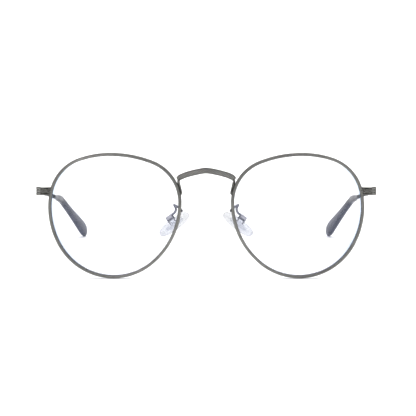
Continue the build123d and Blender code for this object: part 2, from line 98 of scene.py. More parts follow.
# Half of the bridge from its middle out: (x, y from the lens planes, height above the lens centre, half
# height, half depth), and the leg that runs down from behind its end.
BRIDGE_ARCH = (
    (0.0, -3.50, 18.40, 1.13, 0.70),
    (4.2, -3.40, 17.75, 1.13, 0.72),
    (8.2, -3.00, 16.65, 1.12, 0.74),
    (10.2, -2.55, 15.75, 1.10, 0.72),
    (11.2, -2.20, 15.15, 0.85, 0.58),
)
BRIDGE_LEG = (
    (10.1, -2.35, 15.50),
    (11.0, -1.25, 14.20),
    (10.85, -0.90, 12.60),
    (10.40, -0.95, 10.60),
    (9.95, -1.15, 8.50),
)
BRIDGE_LEG_RADIUS = 0.57
BRIDGE_CAP = 0.5  # length of the arch's rounded ends
BRIDGE_RINGS = 420
BRIDGE_STEPS = 40  # points across the arch's face
BRIDGE_EDGE = 0.42  # radius of the arch's edges, by its half depth
LEAF_PITCH = 1.5
LEAF_SLANT = 2.0
LEAF_DEPTH = 0.17

ARM_OUTER = 2.65
ARM_THICKNESS = 1.2
BUTT_AHEAD = 0.6
END_PIECE_CORNER = 2.2
END_PIECE_HALF_HEIGHT = 1.6
END_PIECE_WAIST = 1.4
END_PIECE_EDGE = 0.25
END_PIECE_STEP = 0.06
PANEL_BORDER = 0.22  # raised edge left round the carved panels
SHELL_START = 0.75  # the ribbed shell wraps the corner between these distances past the start of the bend
SHELL_STOP = 4.6
SHELL_RISE = 0.16
SHELL_MIDDLE = (SHELL_START + SHELL_STOP) / 2
KNOB_SWELL = 0.12  # how far the end piece swells above and below at the shell
CARVING_DEPTH = 0.22
CARVED_STEPS = 56  # points across a carved face
FACE_AHEAD = 7.75  # the end piece's face, ahead of the hinge pin

TEMPLE_TOE_IN = 1.1
TEMPLE_SLOPE = 7.85
BLADE_LENGTH = 28.0
BLADE_FLAT = 6.0
BLADE_HALF_HEIGHT = 1.6
WIRE_HALF_HEIGHT = 0.75
ARM_EDGE = 0.3
HERRINGBONE_PITCH = 1.1
HERRINGBONE_SLANT = 1.3
HERRINGBONE_DEPTH = 0.14
SLEEVE_START = 60.0
CORE_WIRE_END = 128.5
CORE_WIRE_RADIUS = 0.55
CORE_CLEARANCE = 0.03
EAR_BEND_START = 91.0
EAR_BEND_RADIUS = 24.0
EAR_BEND_ANGLE = 19.5
EAR_BEND_ROLL = 28.7
TIP_STATIONS = (
    (60.0, 0.84, 0.82),
    (72.0, 0.92, 0.88),
    (77.0, 1.10, 1.02),
    (82.0, 1.42, 1.20),
    (91.0, 1.60, 1.30),
    (99.4, 1.74, 1.30),
    (108.5, 1.92, 1.32),
    (116.5, 2.25, 1.36),
    (124.5, 2.75, 1.42),
    (131.5, 3.20, 1.48),
    (136.5, 3.40, 1.50),
    (139.5, 3.05, 1.40),
)
TIP_END = 142.5

PAD_HALF_LENGTH = 7.3
PAD_HALF_WIDTH = 3.6
PAD_HALF_THICKNESS = 1.1
PAD_ROUND = 0.95
PAD_DROP = 2.85


# ---- Small geometry helpers ----------------------------------------------------------------------------
def turn_about(axis, degrees):
    """The 3 by 3 matrix that turns about a unit axis by the right-hand rule."""
    x, y, z = np.array(axis) / np.linalg.norm(axis)
    c, s = math.cos(math.radians(degrees)), math.sin(math.radians(degrees))
    cross = np.array([[0, -z, y], [z, 0, -x], [-y, x, 0]])
    return c * np.eye(3) + s * cross + (1 - c) * np.outer((x, y, z), (x, y, z))


def moved(points, matrix, origin):
    return points @ matrix.T + origin


def smooth_step(low, high, value):
    t = np.clip((value - low) / (high - low), 0, 1)
    return t * t * (3 - 2 * t)


def through(points, count):
    """A smooth line of count points through given ones, whose columns can be any numbers."""
    p = np.array(points, float)
    p = np.vstack([2 * p[0] - p[1], p, 2 * p[-1] - p[-2]])
    u = np.linspace(0, len(p) - 3 - 1e-9, count)
    i = u.astype(int)
    t = (u - i)[:, None]
    a, b, c, d = p[i], p[i + 1], p[i + 2], p[i + 3]
    return 0.5 * (2 * b + (c - a) * t + (2 * a - 5 * b + 4 * c - d) * t**2 + (3 * b - a - 3 * c + d) * t**3)


def directions(line):
    way = np.gradient(line, axis=0)
    return way / np.linalg.norm(way, axis=1)[:, None]


def rings_along(line, up, offsets):
    """Rings of points round a line. offsets is (rings, points, 2): along up and across it."""
    way = directions(line)
    up = up - way * np.sum(up * way, axis=1)[:, None]
    up /= np.linalg.norm(up, axis=1)[:, None]
    side = np.cross(way, up)
    return line[:, None, :] + offsets[:, :, :1] * up[:, None, :] + offsets[:, :, 1:] * side[:, None, :]


def oval(points, power=2.0):
    """A unit ring, rounder or squarer by its power."""
    angle = np.arange(points) * 2 * math.pi / points
    c, s = np.cos(angle), np.sin(angle)
    return np.stack([np.sign(c) * np.abs(c) ** (2 / power), np.sign(s) * np.abs(s) ** (2 / power)], axis=1)


def corner(centre, radius, start, stop, steps=5):
    """Points round a corner, each with its outward direction: (x, y, x outward, y outward)."""
    angles = np.radians(np.linspace(start, stop, steps))
    c, s = np.cos(angles), np.sin(angles)
    return np.stack([centre[0] + radius * c, centre[1] + radius * s, c, s], axis=1)


# ---- Making pieces -------------------------------------------------------------------------------------
def make_mesh(name, grid, relief=None, crease=40.0):
    """A closed skin over a grid of rings, in millimetres, capped at both ends. relief is a number per point,
    1 on the plain surface and 0 at the bottom of the engraving."""
    rings, around, _ = grid.shape
    index = np.arange(rings * around).reshape(rings, around)
    rows, ahead = index[:-1], index[1:]
    quads = np.stack([rows, np.roll(rows, -1, axis=1), np.roll(ahead, -1, axis=1), ahead], axis=2)
    points = grid.reshape(-1, 3)
    faces = quads.reshape(-1, 4).tolist()
    values = np.ones(rings * around) if relief is None else relief.reshape(-1)
    ends = np.stack([grid[0].mean(axis=0), grid[-1].mean(axis=0)])
    first, last = rings * around, rings * around + 1
    points = np.vstack([points, ends])
    values = np.append(values, [values[:around].mean(), values[-around:].mean()])
    for j in range(around):
        after = (j + 1) % around
        faces.append((first, int(index[0, after]), int(index[0, j])))
        faces.append((last, int(index[-1, j]), int(index[-1, after])))
    mesh = bpy.data.meshes.new(name)
    mesh.from_pydata((points / 1000).tolist(), [], faces)
    mesh.attributes.new("relief", "FLOAT", "POINT").data.foreach_set("value", values.astype(np.float32))
    tidy_mesh(mesh, crease)
    return mesh


def tidy_mesh(mesh, crease):
    """Turns the faces outward and marks the edges that stay sharp."""
    bm = bmesh.new()
    bm.from_mesh(mesh)
    bmesh.ops.remove_doubles(bm, verts=bm.verts, dist=1e-8)
    if bm.calc_volume(signed=True) < 0:
        bmesh.ops.reverse_faces(bm, faces=bm.faces)
    for edge in bm.edges:
        edge.smooth = edge.calc_face_angle(0.0) < math.radians(crease)
    for face in bm.faces:
        face.smooth = True
    bm.to_mesh(mesh)
    bm.free()


def add_piece(name, mesh, body, node, material):
    piece = bpy.data.objects.new(name, mesh)
    bpy.context.scene.collection.objects.link(piece)
    mesh.materials.append(material)
    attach(piece, body)
    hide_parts(node)
    return piece


def add_pair(name, grid, body, node, material, slot, **how):
    """The left-hand piece and its mirror image. body and node may end in {side}."""
    for side in SIDES:
        points = grid if side == "left" else grid * np.array([-1.0, 1.0, 1.0])
        mesh = make_mesh(f"{name}_{side}", points, **how)
        add_piece(f"{name}_{side}", mesh, body.format(side=side), node.format(side=side), material)


# ---- Materials -----------------------------------------------------------------------------------------
class Nodes:
    """A material's node tree, built by short calls."""

    def __init__(self, name):
        self.material = bpy.data.materials.new(name)
        self.material.use_nodes = True
        self.tree = self.material.node_tree
        self.tree.nodes.clear()
        self.output = self.add("ShaderNodeOutputMaterial")
        self.where = self.add("ShaderNodeTexCoord").outputs["Object"]

    def add(self, kind, **settings):
        node = self.tree.nodes.new(kind)
        for key, value in settings.items():
            setattr(node, key, value)
        return node

    def link(self, source, target):
        self.tree.links.new(source, target)

    def fill(self, socket, value):
        if isinstance(value, bpy.types.NodeSocket):
            self.link(value, socket)
        else:
            socket.default_value = value

    def noise(self, size_mm, detail=3.0, rough=0.5, stretch=(1, 1, 1)):
        """Soft noise whose blobs are about size_mm across."""
        mapping = self.add("ShaderNodeMapping")
        self.link(self.where, mapping.inputs["Vector"])
        mapping.inputs["Scale"].default_value = stretch
        node = self.add("ShaderNodeTexNoise")
        self.link(mapping.outputs[0], node.inputs["Vector"])
        node.inputs["Scale"].default_value = 1000 / size_mm
        node.inputs["Detail"].default_value = detail
        node.inputs["Roughness"].default_value = rough
        return node.outputs["Fac"]

    def attribute(self, name):
        return self.add("ShaderNodeAttribute", attribute_name=name).outputs["Fac"]

    def remap(self, value, low, high, to_low, to_high):
        node = self.add("ShaderNodeMapRange")
        self.link(value, node.inputs["Value"])
        for key, number in zip(("From Min", "From Max", "To Min", "To Max"), (low, high, to_low, to_high)):
            node.inputs[key].default_value = number
        return node.outputs["Result"]

    def maths(self, operation, a, b=0.0):
        node = self.add("ShaderNodeMath", operation=operation)
        self.fill(node.inputs[0], a)
        self.fill(node.inputs[1], b)
        return node.outputs[0]

    def mix(self, share, a, b):
        node = self.add("ShaderNodeMix", data_type="RGBA")
        self.fill(node.inputs["Factor"], share)
        self.fill(node.inputs["A"], a)
        self.fill(node.inputs["B"], b)
        return node.outputs["Result"]

    def bump(self, height, depth_mm):
        node = self.add("ShaderNodeBump")
        self.link(height, node.inputs["Height"])
        node.inputs["Distance"].default_value = depth_mm / 1000
        node.inputs["Strength"].default_value = 1.0
        return node.outputs["Normal"]

    def principled(self, **values):
        node = self.add("ShaderNodeBsdfPrincipled")
        for key, value in values.items():
            self.fill(node.inputs[key.replace("_", " ")], value)
        return node.outputs[0]

    def finish(self, shader):
        self.link(shader, self.output.inputs["Surface"])
        return self.material


def rgb(r, g, b):
    return (r, g, b, 1.0)


# How large the plating's clouds and grain are, in millimetres, how deep the grain is, and how much the clouds
# lighten and darken it.
CLOUD_SIZE = 2.2
CLOUD_SHADE = 0.09
GRAIN_SIZE = 0.16
GRAIN_DEPTH = 0.006


def plated_metal(name, light, dark, engraved, rough=0.30):
    """Gunmetal plating: worn light on the high spots, darker in the cuts, with a fine brushed grain. Where
    engraved, it follows the relief attribute, which also carries painted shade along the rims' sides and the
    bridge's edges.
    """
    n = Nodes(name)
    cloud = n.noise(CLOUD_SIZE, detail=4.0)
    speck = n.noise(GRAIN_SIZE, detail=2.0)
    shade = n.remap(cloud, 0.3, 0.7, -CLOUD_SHADE, CLOUD_SHADE)
    base = n.attribute("relief") if engraved else n.remap(speck, 0.0, 1.0, 0.75, 1.0)
    high = n.maths("ADD", n.remap(base, 0.0, 1.0, 0.0, 1.0), shade)
    colour = n.mix(high, rgb(*dark), rgb(*light))
    by_height = n.remap(high, 0.0, 1.0, rough + 0.16, rough - 0.04)
    rough_here = n.maths("ADD", by_height, n.remap(speck, 0.3, 0.7, -0.05, 0.05))
    normal = n.bump(speck, GRAIN_DEPTH)
    edge_on = rgb(0.27, 0.265, 0.26)  # gunmetal stays grey at a glancing angle
    looks = {"Base_Color": colour, "Metallic": 1.0, "Specular_Tint": edge_on}
    return n.finish(n.principled(**looks, Roughness=rough_here, Normal=normal))


def clear_lens():
    """Optical plastic with a faint blue-violet coating, clearest when seen straight on. A blue-grey tint
    along its temple edge is a painted reflection of the coating.
    """
    n = Nodes("lens_coated")
    edge = n.attribute("relief")
    haze = n.noise(9.0, detail=2.0)
    # Painted reflection: near the temple edge the clear colour is tinted blue-grey, standing in for the
    # coating's reflection there.
    tint = n.mix(n.remap(edge, 0.0, PAINTED_REFLECTION_STRIP, 0.0, 1.0), rgb(0.76, 0.81, 0.865), rgb(0.988, 0.991, 1.0))
    clear = n.add("ShaderNodeBsdfTransparent")
    n.link(tint, clear.inputs["Color"])
    rough_here = n.remap(haze, 0.3, 0.7, 0.02, 0.05)
    gloss = n.principled(Base_Color=rgb(0.62, 0.68, 1.0), Metallic=1.0, Roughness=rough_here)
    facing = n.add("ShaderNodeLayerWeight")
    facing.inputs["Blend"].default_value = 0.5
    glance = n.maths("POWER", facing.outputs["Facing"], 5.0)
    mixed = n.add("ShaderNodeMixShader")
    n.link(n.remap(glance, 0.0, 1.0, 0.03, 0.9), mixed.inputs[0])
    n.link(clear.outputs[0], mixed.inputs[1])
    n.link(gloss, mixed.inputs[2])
    return n.finish(mixed.outputs[0])


def see_through(n, share, tint, body):
    """A clear body: this share of its own surface over what lies behind it."""
    clear = n.add("ShaderNodeBsdfTransparent")
    clear.inputs["Color"].default_value = tint
    mixed = n.add("ShaderNodeMixShader")
    n.link(share, mixed.inputs[0])
    n.link(clear.outputs[0], mixed.inputs[1])
    n.link(body, mixed.inputs[2])
    return n.finish(mixed.outputs[0])


def soft_silicone():
    """Clear silicone with a faint milky haze, denser where the surface turns away."""
    n = Nodes("pad_silicone")
    haze = n.noise(1.6, detail=3.0)
    colour = n.mix(haze, rgb(0.28, 0.285, 0.295), rgb(0.36, 0.365, 0.375))
    rough_here = n.remap(haze, 0.3, 0.7, 0.22, 0.34)
    normal = n.bump(n.noise(0.35), 0.01)
    body = n.principled(Base_Color=colour, Roughness=rough_here, IOR=1.41, Normal=normal)
    facing = n.add("ShaderNodeLayerWeight")
    facing.inputs["Blend"].default_value = 0.35
    edge_share = n.remap(facing.outputs["Facing"], 0.0, 1.0, 0.27, 0.55)
    share = n.maths("ADD", edge_share, n.remap(haze, 0.3, 0.7, -0.03, 0.03))
    return see_through(n, share, rgb(0.985, 0.988, 1.0), body)


def hard_clear_plastic():
    """The pad's clear stem and plate."""
    n = Nodes("pad_core_plastic")
    haze = n.noise(1.2)
    colour = n.mix(haze, rgb(0.62, 0.65, 0.74), rgb(0.74, 0.77, 0.85))
    body = n.principled(Base_Color=colour, Roughness=n.remap(haze, 0, 1, 0.12, 0.24), IOR=1.49)
    facing = n.add("ShaderNodeLayerWeight")
    facing.inputs["Blend"].default_value = 0.3
    share = n.remap(facing.outputs["Facing"], 0.0, 1.0, 0.10, 0.45)
    return see_through(n, share, rgb(0.98, 0.985, 1.0), body)


def polished_acetate():
    """Grey acetate with a faint smoky marbling under a buffed surface."""
    n = Nodes("tip_acetate")
    swirl = n.noise(5.0, detail=5.0, rough=0.6, stretch=(1.0, 0.35, 1.0))
    colour = n.mix(n.remap(swirl, 0.35, 0.65, 0.0, 1.0), rgb(0.028, 0.029, 0.037), rgb(0.050, 0.052, 0.066))
    scuff = n.noise(0.5, detail=4.0)
    rough_here = n.remap(scuff, 0.3, 0.7, 0.26, 0.36)
    normal = n.bump(n.noise(3.0), 0.02)
    looks = {"Base_Color": colour, "IOR": 1.5, "Specular_IOR_Level": 0.05}
    return n.finish(n.principled(**looks, Roughness=rough_here, Normal=normal))


ENGRAVED = plated_metal("gunmetal_engraved", (0.35, 0.345, 0.325), (0.016, 0.015, 0.013), True)
SMOOTH_METAL = plated_metal("gunmetal_smooth", (0.25, 0.248, 0.27), (0.09, 0.09, 0.105), False, rough=0.32)
DARK_METAL = plated_metal("gunmetal_dark", (0.10, 0.098, 0.094), (0.03, 0.03, 0.03), False, rough=0.32)
SCREW_METAL = plated_metal("screw_steel", (0.09, 0.09, 0.09), (0.025, 0.025, 0.025), False, rough=0.24)
LENS = clear_lens()
SILICONE = soft_silicone()
CORE_PLASTIC = hard_clear_plastic()
ACETATE = polished_acetate()


# ---- Rim outline ---------------------------------------------------------------------------------------
def solved_arcs():
    """The rim's arcs with the two open radii filled in, so that the outline ends where it began."""
    heading, chords = 0.0, []
    for _, turn in RIM_ARCS:
        after = heading - math.radians(turn)
        chords.append((math.sin(heading) - math.sin(after), math.cos(after) - math.cos(heading)))
        heading = after
    known = [(r, c) for (r, _), c in zip(RIM_ARCS, chords) if r is not None]
    (ax, az), (bx, bz) = [c for (r, _), c in zip(RIM_ARCS, chords) if r is None]
    sum_x = -sum(r * c[0] for r, c in known)
    sum_z = -sum(r * c[1] for r, c in known)
    spread = ax * bz - az * bx
    open_radii = iter(((sum_x * bz - sum_z * bx) / spread, (ax * sum_z - az * sum_x) / spread))
    return [(next(open_radii) if r is None else r, turn) for r, turn in RIM_ARCS]


def walk_outline(distances):
    """Points on the rim's centre line at distances along it from the top: (x, z, x outward, z outward)."""
    x, z, heading, begun, found = 0.0, 0.0, 0.0, 0.0, np.zeros((len(distances), 4))
    for radius, turn in solved_arcs():
        cx = x + radius * math.sin(math.radians(heading))
        cz = z - radius * math.cos(math.radians(heading))
        length = radius * math.radians(turn)
        here = (distances >= begun - 1e-9) & (distances < begun + length + 1e-9)
        angle = math.radians(heading + 90.0) - (distances[here] - begun) / radius
        c, s = np.cos(angle), np.sin(angle)
        found[here] = np.stack([cx + radius * c, cz + radius * s, c, s], axis=1)
        heading -= turn
        begun += length
        x = cx - radius * math.sin(math.radians(heading))
        z = cz + radius * math.cos(math.radians(heading))
    return found


OUTLINE_LENGTH = sum(r * math.radians(t) for r, t in solved_arcs())


def centred_outline(distances):
    """The same, with the outline's box centred on the lens centre."""
    whole = walk_outline(np.linspace(0, OUTLINE_LENGTH, 4000))
    middle = (whole[:, :2].min(axis=0) + whole[:, :2].max(axis=0)) / 2
    found = walk_outline(np.mod(distances, OUTLINE_LENGTH))
    found[:, :2] -= middle
    return found


def placed_on_lens(grid):
    """From the lens's own frame (x across, y back, z up) to the row frame."""
    return moved(grid, turn_about((0, 0, 1), WRAP), LENS_CENTRE)


def round_outline(outline, section):
    """A grid of section's points, (outward, back), carried round the outline."""
    out, back = section[:, 0], section[:, 1]
    grid = np.zeros((len(outline), len(section), 3))
    grid[:, :, 0] = outline[:, None, 0] + outline[:, None, 2] * out
    grid[:, :, 1] = back
    grid[:, :, 2] = outline[:, None, 1] + outline[:, None, 3] * out
    return grid


# ---- Rims ----------------------------------------------------------------------------------------------
def rim_section():
    """The rim wire's section from the groove's front lip round: (outward, back, their outward directions)."""
    half, deep, outer, inner = RIM_HALF_WIDTH, RIM_HALF_DEPTH, RIM_OUTER_ROUND, RIM_INNER_ROUND
    lip = GROOVE_HALF_OPENING
    face = np.linspace(inner - half, half - outer, 10)[1:-1]
    side = np.linspace(outer - deep, deep - outer, 7)[1:-1]
    parts = [
        np.array([(-half, -lip, -1, 0)]),
        corner((inner - half, inner - deep), inner, 180, 270, 5),
        np.stack([face, np.full(8, -deep), np.zeros(8), np.full(8, -1.0)], axis=1),
        corner((half - outer, outer - deep), outer, 270, 360, 9),
        np.stack([np.full(5, half), side, np.ones(5), np.zeros(5)], axis=1),
        corner((half - outer, deep - outer), outer, 0, 90, 5),
        corner((inner - half, deep - inner), inner, 90, 180, 3),
        np.array([(-half, lip, -1, 0), (GROOVE_DEPTH - half, 0, -1, 0)]),
    ]
    return np.vstack(parts)


def rope_cut(turns, slant, along, across):
    """How deep the milled rope cuts are, from 0 on a strand's back to 1 in the valley beside it."""
    phase = math.pi * (turns * along + slant * across)
    return (1 - np.abs(np.sin(phase))) ** 0.9


def slit_distance():
    """How far along the outline, from the top, the rim wire's two ends meet, level with the hinge."""
    temple_side = centred_outline(np.linspace(0, OUTLINE_LENGTH / 2, 3000))
    height = HINGE_AT[2] - LENS_CENTRE[2] + (HINGE_AT[1] - RIM_HIGH[1]) * HINGE_AXIS[1]
    misses = np.abs(temple_side[:, 1] - height) + 100 * (temple_side[:, 0] < 20)
    return np.argmin(misses) * OUTLINE_LENGTH / 2 / 2999


def build_rims():
    section = rim_section()
    steps = np.linalg.norm(np.diff(section[:, :2], axis=0), axis=1)
    across = np.concatenate([[0], np.cumsum(steps)])
    share = np.linspace(0, 1, ROPE_TURNS * ROPE_STEPS + 1)
    outline = centred_outline(slit_distance() + RIM_SLIT / 2 + share * (OUTLINE_LENGTH - RIM_SLIT))
    cut = rope_cut(ROPE_TURNS, ROPE_SLANT, share[:, None], across[None, :])
    ahead = -section[:, 3]  # 1 on the face, 0 on the sides and below 0 on the back
    mask = smooth_step(0.25, 0.8, ahead)
    cut = cut * mask[None, :]
    grid = round_outline(outline, section)
    inward = round_outline(outline, section[:, :2] - section[:, 2:]) - grid
    grid = grid + inward * (cut * ROPE_DEPTH)[:, :, None]
    # Painted shade: the rim's sides next to its face are painted dark, as the shaded edges of a lit round
    # wire. Its face keeps the full light tone and its back a plain middle tone.
    metal_tone = RIM_SIDE_SHADE + (1 - RIM_SIDE_SHADE) * smooth_step(0.0, 0.9, ahead)
    metal_tone += (BACK_PATINA - RIM_SIDE_SHADE) * smooth_step(0.2, 0.8, -ahead)
    relief = (1 - cut) * metal_tone[None, :]
    how = {"relief": relief, "crease": 50.0}
    add_pair("rim", placed_on_lens(grid), "front", "rim_{side}", ENGRAVED, "frame_metal", **how)


# ---- Lenses --------------------------------------------------------------------------------------------
def build_lenses():
    outline = centred_outline(np.arange(LENS_STEPS) / LENS_STEPS * OUTLINE_LENGTH)
    flat = -RIM_HALF_WIDTH - LENS_CLEARANCE
    rim_points = outline[:, :2] + outline[:, 2:] * flat
    centre_depth = math.sqrt(LENS_CURVE**2 - LENS_EDGE_RADIUS**2)

    def dome(share, radius):
        xz = rim_points * share
        y = centre_depth - np.sqrt(radius**2 - np.sum(xz**2, axis=1))
        return np.stack([xz[:, 0], y, xz[:, 1]], axis=1)

    def on_edge(out, back):
        xz = outline[:, :2] + outline[:, 2:] * out
        return np.stack([xz[:, 0], np.full(len(xz), back), xz[:, 1]], axis=1)

    shares = np.concatenate([np.linspace(0.02, 0.94, 18), [0.97, 0.985, 0.995, 1.0]])
    rings = [dome(s, LENS_CURVE - LENS_HALF_THICKNESS) for s in shares]
    bevel = ((flat, BEVEL_HALF_WIDTH), (BEVEL_HEIGHT - RIM_HALF_WIDTH, 0), (flat, -BEVEL_HALF_WIDTH))
    rings += [on_edge(out, back) for out, back in bevel]
    rings += [dome(s, LENS_CURVE + LENS_HALF_THICKNESS) for s in shares[::-1]]
    values = np.concatenate([1 - shares, [0, 0, 0], 1 - shares[::-1]])
    away = smooth_step(0.8, 0.3, outline[:, 2])  # 0 on the temple side, where the coating's reflection is painted as a tint
    how = {"relief": values[:, None] + PAINTED_REFLECTION_STRIP * away[None, :], "crease": 25.0}
    add_pair("lens", placed_on_lens(np.array(rings)), "front", "lens_{side}", LENS, "lens", **how)


# ---- Bridge --------------------------------------------------------------------------------------------
def build_bridge():
    half = list(BRIDGE_ARCH)
    whole = [(-x, y, z, h, d) for x, y, z, h, d in reversed(half[1:])] + half
    rows = through(whole, BRIDGE_RINGS)
    line = rows[:, :3] + (0.0, LENS_CENTRE[1], LENS_CENTRE[2])
    half_height, half_depth = rows[:, 3], rows[:, 4]
    way = directions(line)
    past = np.linspace(0.12, 1, 12)  # rings of the rounded ends
    swell = np.sqrt(np.maximum(1 - past**2, 0.002))
    cap = past[:, None] * BRIDGE_CAP
    line = np.vstack([line[0] - way[0] * cap[::-1], line, line[-1] + way[-1] * cap])
    half_height = np.concatenate([half_height[0] * swell[::-1], half_height, half_height[-1] * swell])
    half_depth = np.concatenate([half_depth[0] * swell[::-1], half_depth, half_depth[-1] * swell])
    sizes = zip(half_height, half_depth)
    offsets = np.array([strap_section(h, d, BRIDGE_EDGE * d, BRIDGE_STEPS) for h, d in sizes])
    run = np.concatenate([[0], np.cumsum(np.linalg.norm(np.diff(line, axis=0), axis=1))])
    run = np.abs(run - run[-1] / 2)[:, None]
    up = offsets[:, :, 0]
    strand = np.abs(np.sin(math.pi * (run + up * LEAF_SLANT) / LEAF_PITCH))
    edge = smooth_step(0.98, 0.80, np.abs(up) / half_height[:, None])
    front = np.zeros(offsets.shape[1])
    front[:BRIDGE_STEPS] = 1.0
    cut = (1 - strand) ** 0.9 * front[None, :] * edge * smooth_step(0.5, 0.9, half_height)[:, None]
    offsets[:, :, 1] -= cut * LEAF_DEPTH
    # Painted shade: the arch's face is painted light in its middle and dark towards its top and bottom edges,
    # and its rounded edges are dark, as shade on a lit strap. Its back half takes a middle tone.
    painted_edge_shade = np.where(front[None, :] > 0, 0.16 + 0.68 * edge, 0.16 + 0.26 * (offsets[:, :, 1] < 0))
    upward = np.tile([0.0, 0.0, 1.0], (len(line), 1))
    arch = make_mesh("bridge", rings_along(line, upward, offsets), relief=(1 - cut) * painted_edge_shade, crease=60.0)
    piece = add_piece("bridge", arch, "front", "bridge", ENGRAVED)
    for mirror in (1.0, -1.0):
        leg_line = through(BRIDGE_LEG, 60) + (0.0, LENS_CENTRE[1], LENS_CENTRE[2])
        leg_line = leg_line * (mirror, 1.0, 1.0)
        ends = np.concatenate([np.ones(54), np.sqrt(1 - np.linspace(0, 0.97, 6) ** 2)])
        leg_ring = oval(28)[None, :, :] * (BRIDGE_LEG_RADIUS * ends)[:, None, None]
        back = np.tile([0.0, 1.0, 0.0], (len(leg_line), 1))
        metal_tone = np.full(leg_ring.shape[:2], 0.6)
        weld_to(piece, make_mesh("bridge_leg", rings_along(leg_line, back, leg_ring), relief=metal_tone))


def weld_to(piece, mesh):
    """Fuses a mesh into a piece, as brazing does."""
    tool = bpy.data.objects.new("tool", mesh)
    bpy.context.scene.collection.objects.link(tool)
    join = piece.modifiers.new("weld", "BOOLEAN")
    join.operation = "UNION"
    join.solver = "EXACT"
    join.object = tool
    evaluated = piece.evaluated_get(bpy.context.evaluated_depsgraph_get())
    fused = bpy.data.meshes.new_from_object(evaluated)
    piece.modifiers.clear()
    piece.data = fused
    bpy.data.objects.remove(tool)


# ---- Hinge frame pieces --------------------------------------------------------------------------------
HINGE_TURN = turn_about((1, 0, 0), -math.degrees(math.asin(HINGE_AXIS[1])))
TEMPLE_TURN = HINGE_TURN @ turn_about((0, 0, 1), TEMPLE_TOE_IN)
TEMPLE_TURN = TEMPLE_TURN @ turn_about((1, 0, 0), math.degrees(math.asin(HINGE_AXIS[1])) - TEMPLE_SLOPE)


FACE_STEPS = 34  # points across a strap's outer face


def strap_section(half_height, half_thickness, edge, face_steps=FACE_STEPS):
    """A strap's section with rounded edges: (up, out), its outer face first and finely divided."""
    t = np.linspace(-1, 1, face_steps)
    flat_up, flat_out = half_height - edge, half_thickness - edge
    outer = np.stack([t * flat_up, np.full(face_steps, half_thickness)], axis=1)
    top = corner((flat_up, flat_out), edge, 90, 0, 5)[:, :2]
    top_back = corner((flat_up, -flat_out), edge, 0, -90, 5)[:, :2]
    low_back = corner((-flat_up, -flat_out), edge, 270, 180, 5)[:, :2]
    low = corner((-flat_up, flat_out), edge, 180, 90, 5)[:, :2]
    return np.vstack([outer, top[1:], top_back, low_back, low[:-1]])


def ridge(distance, width):
    return np.exp(-((distance / width) ** 2))


def panel(along, up, start, stop, half_height, corner_radius=0.8):
    """Distance to the outline of a panel with rounded corners: below 0 inside it."""
    centre, half = (start + stop) / 2, (stop - start) / 2
    over_x = np.abs(along - centre) - (half - corner_radius)
    over_y = np.abs(up) - (half_height - corner_radius)
    outside = np.hypot(np.maximum(over_x, 0), np.maximum(over_y, 0))
    return outside + np.minimum(np.maximum(over_x, over_y), 0) - corner_radius


def scrollwork(along, up, half_height):
    """A winding vine with a curl in each of its bows: heights from 0 on the sunk ground to 1."""
    sway, pitch = 0.42 * half_height, 2.3
    height = ridge(up - sway * np.sin(along * 2 * math.pi / pitch), 0.24)
    place = np.floor(along / (pitch / 2))
    middle = (place + 0.5) * pitch / 2
    bow = np.where(np.mod(place, 2) == 0, -1.0, 1.0) * 0.32 * half_height
    curl = np.hypot(along - middle, up - bow)
    angle = np.arctan2(up - bow, along - middle)
    height = np.maximum(height, ridge(curl - 0.12 - 0.06 * (angle + math.pi), 0.14) * (curl < 0.62))
    return np.clip(height, 0, 1)


def rim_edge_in_hinge_frame():
    """The rim's outer edge near the end piece, as (x, z) in the hinge's frame, by rising z."""
    outline = centred_outline(np.linspace(0, OUTLINE_LENGTH / 2, 3000))
    edge = outline[:, :2] + outline[:, 2:] * RIM_HALF_WIDTH
    points = np.stack([edge[:, 0], np.full(len(edge), -RIM_HALF_DEPTH / 2), edge[:, 1]], axis=1)
    points = (placed_on_lens(points) - HINGE_AT) @ HINGE_TURN
    near = points[(points[:, 0] > -12) & (np.abs(points[:, 2]) < 4)]
    return near[np.argsort(near[:, 2])][:, (0, 2)]


